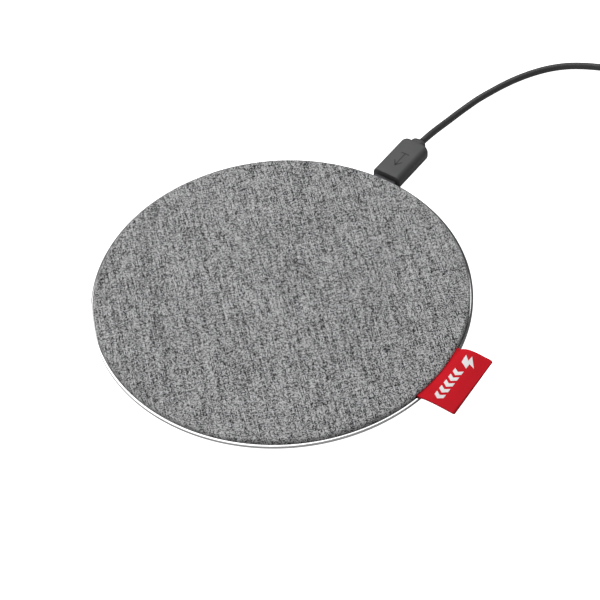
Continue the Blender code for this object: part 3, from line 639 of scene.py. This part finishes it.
def make_plug_body(material):
    """The moulded grip: a flat front, broad rounded sides, round shoulders and a short neck."""
    low, high = PLUG_LOW, PLUG_HIGH
    half = (high.x - low.x) / 2 + PLUG_SPREAD
    corner, front_edge, shoulder, top_edge = 1.9 * MM, 0.3 * MM, 1.25 * MM, 0.1 * MM
    neck_corner = 1.3 * MM
    rows = []
    for i in range(5):
        angle = math.pi / 2 * i / 4
        sunk = front_edge * (1 - math.sin(angle))
        y = low.y + front_edge * (1 - math.cos(angle))
        rows.append(plug_section(y, half - sunk, low.z + sunk, high.z - sunk, corner - sunk))
    last = high.y - shoulder
    for i in range(1, 8):
        y = low.y + front_edge + (last - low.y - front_edge) * i / 7
        rows.append(plug_section(y, half, low.z, high.z, corner))
    neck_half = (NECK_HIGH.x - NECK_LOW.x) / 2
    for i in range(1, 8):
        angle = math.pi / 2 * i / 7
        sunk = shoulder * (1 - math.cos(angle))
        y = last + shoulder * math.sin(angle)
        edge = top_edge * (i / 7) ** 2
        rows.append(plug_section(y, half - sunk, low.z + sunk * 0.6, high.z - edge, corner - 0.4 * sunk))
    neck = NECK_HIGH.y - high.y
    for along, aside, above, below in NECK_SECTIONS:
        y, wide = high.y + neck * along, neck_half - aside * MM
        rows.append(plug_section(y, wide, low.z + below * MM, high.z - above * MM, neck_corner))
    body = skin("plug_body", rows, wrap_columns=True, caps=True)
    replaced = ("plug_overmould", "plug_strain_relief")
    return finish_piece(body, material, "lead", replaced, 50)


def make_plug_arrow(material):
    """A plain arrow that shows which way the plug goes in, moulded just proud of the grip's top; its darker
    black is painted shade.
    """
    centre_x = (PLUG_LOW.x + PLUG_HIGH.x) / 2
    tip = PLUG_LOW.y + 4.6 * MM
    half_stroke, sunk, proud = 0.17 * MM, 0.1 * MM, 0.03 * MM
    length, head, half = 5.6, 1.7, 1.25
    strokes = [
        ((0.0, 0.0), (0.0, length)),
        ((0.0, 0.0), (-half, head)),
        ((0.0, 0.0), (half, head)),
        ((-half, length), (half, length)),
    ]
    bm = bmesh.new()
    for first, last in strokes:
        a = Vector((centre_x + first[0] * MM, tip + first[1] * MM, 0.0))
        b = Vector((centre_x + last[0] * MM, tip + last[1] * MM, 0.0))
        along = (b - a).normalized() * half_stroke
        side = Vector((-along.y, along.x, 0.0))
        corners = [a - along - side, b + along - side, b + along + side, a - along + side]
        low = [bm.verts.new((p.x, p.y, PLUG_HIGH.z - sunk)) for p in corners]
        high = [bm.verts.new((p.x, p.y, PLUG_HIGH.z + proud)) for p in corners]
        bm.faces.new(low)
        bm.faces.new(high)
        for i in range(4):
            k = (i + 1) % 4
            bm.faces.new((low[i], low[k], high[k], high[i]))
    return finish_piece(add_mesh("plug_arrow", bm), material, "lead")


# ---------------------------------------------------------------- the pad


def cover_profile(hem):
    """The cover's outer line from the middle to a hem this far along it."""
    turn, steps = COVER_EDGE, 14
    flat = COVER_RADIUS - turn
    found = [(flat * i / steps, COVER_TOP) for i in range(steps + 1)]
    rest = hem - flat
    arc = turn * math.pi / 2
    for i in range(1, steps + 1):
        along = rest * i / steps
        if along < arc:
            angle = along / turn
            found.append((flat + turn * math.sin(angle), COVER_TOP - turn + turn * math.cos(angle)))
        else:
            found.append((COVER_RADIUS, COVER_TOP - turn - (along - arc)))
    return found


def make_cover(material):
    """The cloth, pulled flat over the plate and down inside the ring; its hem lifts over the label."""
    turn = COVER_EDGE
    full_hem = COVER_RADIUS - turn + turn * math.pi / 2 + (COVER_TOP - turn - COVER_LOW.z)
    label_hem = COVER_RADIUS - turn + turn * math.radians(62)
    clear, risen = LABEL_HALF + 0.15 * MM, LABEL_HALF + 0.9 * MM
    dip, still_edge, fade_over = 0.03 * MM, 2.5 * MM, 6 * MM
    steps = 360
    rows = []
    for i in range(steps):
        angle = math.tau * i / steps
        aside = abs(COVER_RADIUS * math.sin(angle) - LABEL_Y) if math.cos(angle) > 0 else 1.0
        hem = label_hem + (full_hem - label_hem) * ease(aside, clear, risen)
        row = []
        for radius, z in cover_profile(hem):
            place = Vector((radius * math.cos(angle), radius * math.sin(angle), z))
            fade = min(1.0, max(0.0, (COVER_RADIUS - still_edge - radius) / fade_over))
            place.z -= dip * fade * (0.5 + 0.5 * noise.noise(place * 70))
            row.append(place)
        rows.append(row)
    cover = skin("woven_cover", rows, wrap_rows=True)
    thicken(cover, CLOTH_THICKNESS, -1.0)
    finish_piece(cover, material, "pad", ("fabric_cover",), 60)


def make_ring(material):
    """A bright lip round the cloth, above a plain band, with a flange that clamps the plate."""
    outer, top, low = PAD_RADIUS, RING_HIGH.z, RING_LOW.z
    inner, wall_low = 54.4 * MM, 5.85 * MM
    flange, flange_high = 51.6 * MM, low + 0.4 * MM
    profile = [
        (inner, top - 0.06 * MM),
        (inner + 0.02 * MM, top - 0.02 * MM),
        (inner + 0.06 * MM, top),
        (outer - 0.12 * MM, top - 0.07 * MM),
        (outer - 0.06 * MM, top - 0.09 * MM),
        (outer - 0.02 * MM, top - 0.13 * MM),
        (outer, top - 0.2 * MM),
        (outer, wall_low),
        (outer - 0.05 * MM, wall_low - 0.08 * MM),
        (outer - 0.4 * MM, low + 0.02 * MM),
        (outer - 0.5 * MM, low),
        (flange, low),
        (flange, flange_high),
        (inner, flange_high),
    ]
    ring = turned("polished_ring", profile, steps=400)
    finish_piece(ring, material, "pad", ("trim_ring",), 24)


def make_base(material):
    """The shallow bowl under the ring, with the port's housing and the sunk screw holes."""
    outside = ((53.9, 5.2), (53.72, 4.7), (51.2, 3.2), (46.4, 1.5), (42.6, 0.7), (40.0, 0.42), (37.2, 0.4))
    outer_line = [Vector((r, z, 0.0)) * MM for r, z in outside]
    gap, recess, inner_floor = 0.3 * MM, 1.3 * MM, 2.3
    rim = DISC_HIGH.x + gap
    profile = [(p.x, p.y) for p in smooth_route(outer_line, 0.5 * MM)]
    profile += [(rim + 0.25 * MM, 0.4 * MM), (rim, 0.62 * MM), (rim, recess), (0.0, recess)]
    inside = ((0.0, inner_floor), (39.5, inner_floor), (46.6, 3.3), (50.2, 4.5), (52.0, 5.2))
    profile += [(r * MM, z * MM) for r, z in inside]
    base = turned("base_bowl", profile, steps=240)
    wall = 3.0 * MM
    boss = block(
        "boss",
        (PORT_LOW.x - wall, 46.0 * MM, 1.5 * MM),
        (PORT_HIGH.x + wall, BASE_HIGH.y, BASE_HIGH.z - 0.02 * MM),
        0.3 * MM,
    )
    combine(base, boss, "UNION")
    window = block(
        "window",
        (PORT_LOW.x - gap, 45 * MM, PORT_LOW.z - 0.25 * MM),
        (PORT_HIGH.x + gap, 60 * MM, PORT_HIGH.z + 0.25 * MM),
    )
    combine(base, window)
    for i in range(4):
        low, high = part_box(f"case_screw_{i + 1}")
        radius = (high.x - low.x) / 2 + gap
        combine(base, rod("pocket", (low + high) / 2, radius, 0.5 * MM, 2.2 * MM))
    finish_piece(base, material, "pad", ("base_shell",), 30)


def make_disc(material):
    """The silicone disc, with fine rings that grip the table."""
    radius, top = DISC_HIGH.x, DISC_HIGH.z
    profile = [(0.0, top), (radius, top), (radius, 0.3 * MM)]
    profile += [(radius - 0.12 * MM, 0.08 * MM), (radius - 0.3 * MM, 0.0)]
    margin, groove, depth = 2.6 * MM, 1.4 * MM, 0.18 * MM
    for i in range(9):
        start = radius - margin - i * 2 * groove
        for step, z in ((0.0, 0.0), (0.15, depth), (0.85, depth), (1.0, 0.0)):
            profile.append((start - groove * step, z))
    profile.append((0.0, 0.0))
    disc = turned("grip_disc", profile, steps=180)
    finish_piece(disc, material, "pad", ("antislip_disc",), 30)


# ---------------------------------------------------------------- the label

LABEL_RISE, LABEL_DROOP, LABEL_TWIST = 1.35 * MM, 0.25 * MM, 0.65 * MM
LABEL_LAYER, LABEL_SPREAD = 0.2 * MM, 0.14 * MM  # a layer's thickness, and its distance from the middle
LABEL_CORNER, LABEL_SKEW = 0.7 * MM, 0.3 * MM
LABEL_START = PAD_RADIUS - 0.7 * MM
LABEL_TIP = TAB_HIGH.x


def label_height(x, aside):
    """The folded ribbon's middle height: it bows up from its root, droops a little and twists."""
    share = min(1.0, max(0.0, (x - LABEL_START) / (LABEL_TIP - LABEL_START)))
    risen = 1 - (1 - share) ** 5
    root = (ROOT_LOW.z + ROOT_HIGH.z) / 2
    return root + LABEL_RISE * risen - LABEL_DROOP * share**2 + LABEL_TWIST * risen * aside


def label_half(x):
    """Half the ribbon's width: it narrows a little round the fold's corners."""
    past = max(0.0, x - (LABEL_TIP - LABEL_CORNER)) / LABEL_CORNER
    return LABEL_HALF - LABEL_CORNER * 0.8 * (1 - math.sqrt(max(0.0, 1 - past * past)))


def label_place(x, aside, above):
    """A point on the ribbon: out along X, across it from -1 to 1, and above its middle."""
    skewed = x - LABEL_SKEW * ease(x, LABEL_START, LABEL_TIP) * aside
    return (skewed, LABEL_Y + label_half(x) * aside, label_height(x, aside) + above)


def make_label(material):
    """A ribbon folded back on itself: one layer out from the root, round the fold, and back on top."""
    root, tip = ROOT_LOW.x + 0.1 * MM, LABEL_TIP - LABEL_LAYER / 2
    straight = tip - LABEL_SPREAD - root
    outward = [root + straight * i / 60 for i in range(61)]
    turn = [math.pi * i / 10 for i in range(1, 10)]
    line = [(x, -LABEL_SPREAD) for x in outward]
    line += [(tip - LABEL_SPREAD + LABEL_SPREAD * math.sin(a), -LABEL_SPREAD * math.cos(a)) for a in turn]
    line += [(x, LABEL_SPREAD) for x in reversed(outward)]
    across = 24
    rows = [[label_place(x, 2 * j / across - 1, above) for j in range(across + 1)] for x, above in line]
    label = skin("woven_label", rows)
    thicken(label, LABEL_LAYER, 0.0)
    label.data.shade_smooth()
    label.data.set_sharp_from_angle(angle=math.radians(50))
    label.data.materials.append(material)
    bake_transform(label)
    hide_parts("label_root", "label_tab")


def label_mark_outlines():
    """A plain charging bolt and a row of chevrons, in millimetres along the width and out from the ring."""
    bolt = [(8.3, 2.3), (5.5, 2.6), (4.1, 5.0), (5.9, 5.0), (5.2, 6.9), (8.5, 4.2), (6.7, 4.1)]
    chevron = ((0.0, 2.2), (-1.3, 2.2), (-2.25, 3.6), (-1.3, 5.0), (0.0, 5.0), (-0.95, 3.6))
    first, pitch, count = 2.9, 2.3, 5
    return [bolt] + [[(first - pitch * i + along, out) for along, out in chevron] for i in range(count)]


def make_label_mark(material):
    """The mark's threads, standing just proud of the ribbon and following its bow."""
    bm = bmesh.new()
    for outline in label_mark_outlines():
        face = bm.faces.new([bm.verts.new((along, out, 0.0)) for along, out in outline])
        raised = bmesh.ops.extrude_face_region(bm, geom=[face], use_keep_orig=True)["geom"]
        for vertex in raised:
            if isinstance(vertex, bmesh.types.BMVert):
                vertex.co.z = 1.0
    bmesh.ops.triangulate(bm, faces=bm.faces[:])
    bmesh.ops.subdivide_edges(bm, edges=[e for e in bm.edges if e.calc_length() > 1.2], cuts=2)
    bmesh.ops.triangulate(bm, faces=bm.faces[:])
    surface, proud = LABEL_SPREAD + LABEL_LAYER / 2, 0.06 * MM
    for vertex in bm.verts:
        along, out, level = vertex.co
        above = surface + proud * (2 * level - 1)
        vertex.co = label_place(PAD_RADIUS + out * MM, along * MM / LABEL_HALF, above)
    mark = add_mesh("label_mark", bm)
    mark.data.materials.append(material)
    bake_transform(mark)


# ---------------------------------------------------------------- carried-over CAD nodes

CAD_LOOKS = {  # the start of a node's name, and its material
    "top_plate": "inner",
    "coil_tray": "inner",
    "ferrite_sheet": "ferrite",
    "coil_winding": "copper",
    "thermistor": "chip",
    "main_board": "board",
    "controller_ic": "chip",
    "bridge_mosfet": "chip",
    "resonant_capacitor": "capacitor",
    "power_inductor": "ferrite",
    "crystal": "steel",
    "case_screw": "steel",
    "board_screw": "steel",
    "port_shell": "steel",
    "port_tongue": "contact_plastic",
    "plug_shell": "plug_steel",
    "plug_contact_block": "contact_plastic",
    "coil_tie": "strap",
    "usb_a_strain_relief": "moulding",
    "usb_a_overmould": "moulding",
    "usb_a_shell": "steel",
    "usb_a_insert": "white_block",
    "usb_a_contact": "gold",
}


def dress_cad_nodes(materials):
    """Gives each CAD node that still shows its material, in every slot it has."""
    for name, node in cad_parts.items():
        if node.hide_render:
            continue
        look = next(CAD_LOOKS[key] for key in CAD_LOOKS if name.startswith(key))
        for i in range(len(node.material_slots)):
            node.material_slots[i].material = materials[look]
        if not node.material_slots:
            node.data.materials.append(materials[look])


# ---------------------------------------------------------------- floor and light


def make_stage():
    """A pale matt floor that glows for the camera alone, so that it stays white under the pad's edge."""
    radius, glow, white = 4.0, 1.25, (1.0, 1.0, 1.0, 1.0)
    bm = bmesh.new()
    bmesh.ops.create_circle(bm, cap_ends=True, segments=96, radius=radius)
    floor = add_mesh("floor", bm)
    look = Surface("floor_white", grey(0.62), 0.9, specular_ior_level=0.0, emission_color=white)
    path = look.add("LightPath")
    look.set("Emission Strength", look.maths("MULTIPLY", path.outputs["Is Camera Ray"], glow))
    floor.data.materials.append(look.material)


def studio_place(right, back, up):
    """A place given by how far it is to the camera's right, away from the camera, and up."""
    across = Vector((math.cos(CAMERA_AZIMUTH), math.sin(CAMERA_AZIMUTH), 0.0))
    away = Vector((-math.sin(CAMERA_AZIMUTH), math.cos(CAMERA_AZIMUTH), 0.0))
    return across * right + away * back + Vector((0.0, 0.0, up))


def softbox(name, place, size, radiance):
    """A rectangular light of this radiance, aimed at the pad."""
    data = bpy.data.lights.new(name, "AREA")
    data.shape = "RECTANGLE"
    data.size, data.size_y = size
    data.energy = radiance * math.pi * size[0] * size[1]
    light = bpy.data.objects.new(name, data)
    light.location = studio_place(*place)
    light.rotation_euler = (-light.location).to_track_quat("-Z", "Y").to_euler()
    bpy.context.scene.collection.objects.link(light)


def make_lights():
    """A large key light behind the pad, a smaller one at its left, and a room that dims to the right."""
    bright, dim, reach = 0.4, 0.14, 0.6
    softbox("key", (-0.35, 0.62, 1.3), (1.76, 1.3), 2.75)
    softbox("left_side", (-1.4, 0.0, 0.7), (1.0, 1.0), 1.6)
    world = bpy.data.worlds.new("studio")
    world.use_nodes = True
    tree = world.node_tree
    background = tree.nodes["Background"]
    place = tree.nodes.new("ShaderNodeTexCoord")
    across = tree.nodes.new("ShaderNodeVectorMath")
    across.operation = "DOT_PRODUCT"
    across.inputs[1].default_value = studio_place(0.9, 0.42, 0.0)
    darker = tree.nodes.new("ShaderNodeMapRange")
    for name, value in (("From Min", -reach), ("From Max", reach), ("To Min", bright), ("To Max", dim)):
        darker.inputs[name].default_value = value
    tree.links.new(place.outputs["Generated"], across.inputs[0])
    tree.links.new(across.outputs["Value"], darker.inputs["Value"])
    tree.links.new(darker.outputs[0], background.inputs["Strength"])
    background.inputs["Color"].default_value = (0.96, 0.97, 1.0, 1.0)
    bpy.context.scene.world = world
    bpy.context.scene.view_settings.view_transform = "Standard"


# ---------------------------------------------------------------- the whole object


def main():
    """The camera, the pieces on the pad and the lead, the CAD nodes that still show, and the studio."""
    make_camera()
    materials = make_materials()
    lead, lead_length = make_lead(materials["jacket"])
    plug = make_plug_body(materials["moulding"])
    arrow = make_plug_arrow(materials["moulding_painted_shade"])
    make_cover(materials["woven"])
    make_ring(materials["polished"])
    make_base(materials["housing"])
    make_disc(materials["silicone"])
    make_label(materials["label"])
    make_label_mark(materials["label_mark"])
    dress_cad_nodes(materials)
    on_lead = [plug, arrow, "plug_shell", "plug_contact_block", "coil_tie", "usb_a_strain_relief"]
    on_lead += ["usb_a_overmould", "usb_a_shell", "usb_a_insert"]
    on_lead += [f"usb_a_contact_{i}" for i in range(1, 5)]
    make_stage()
    make_lights()


main()
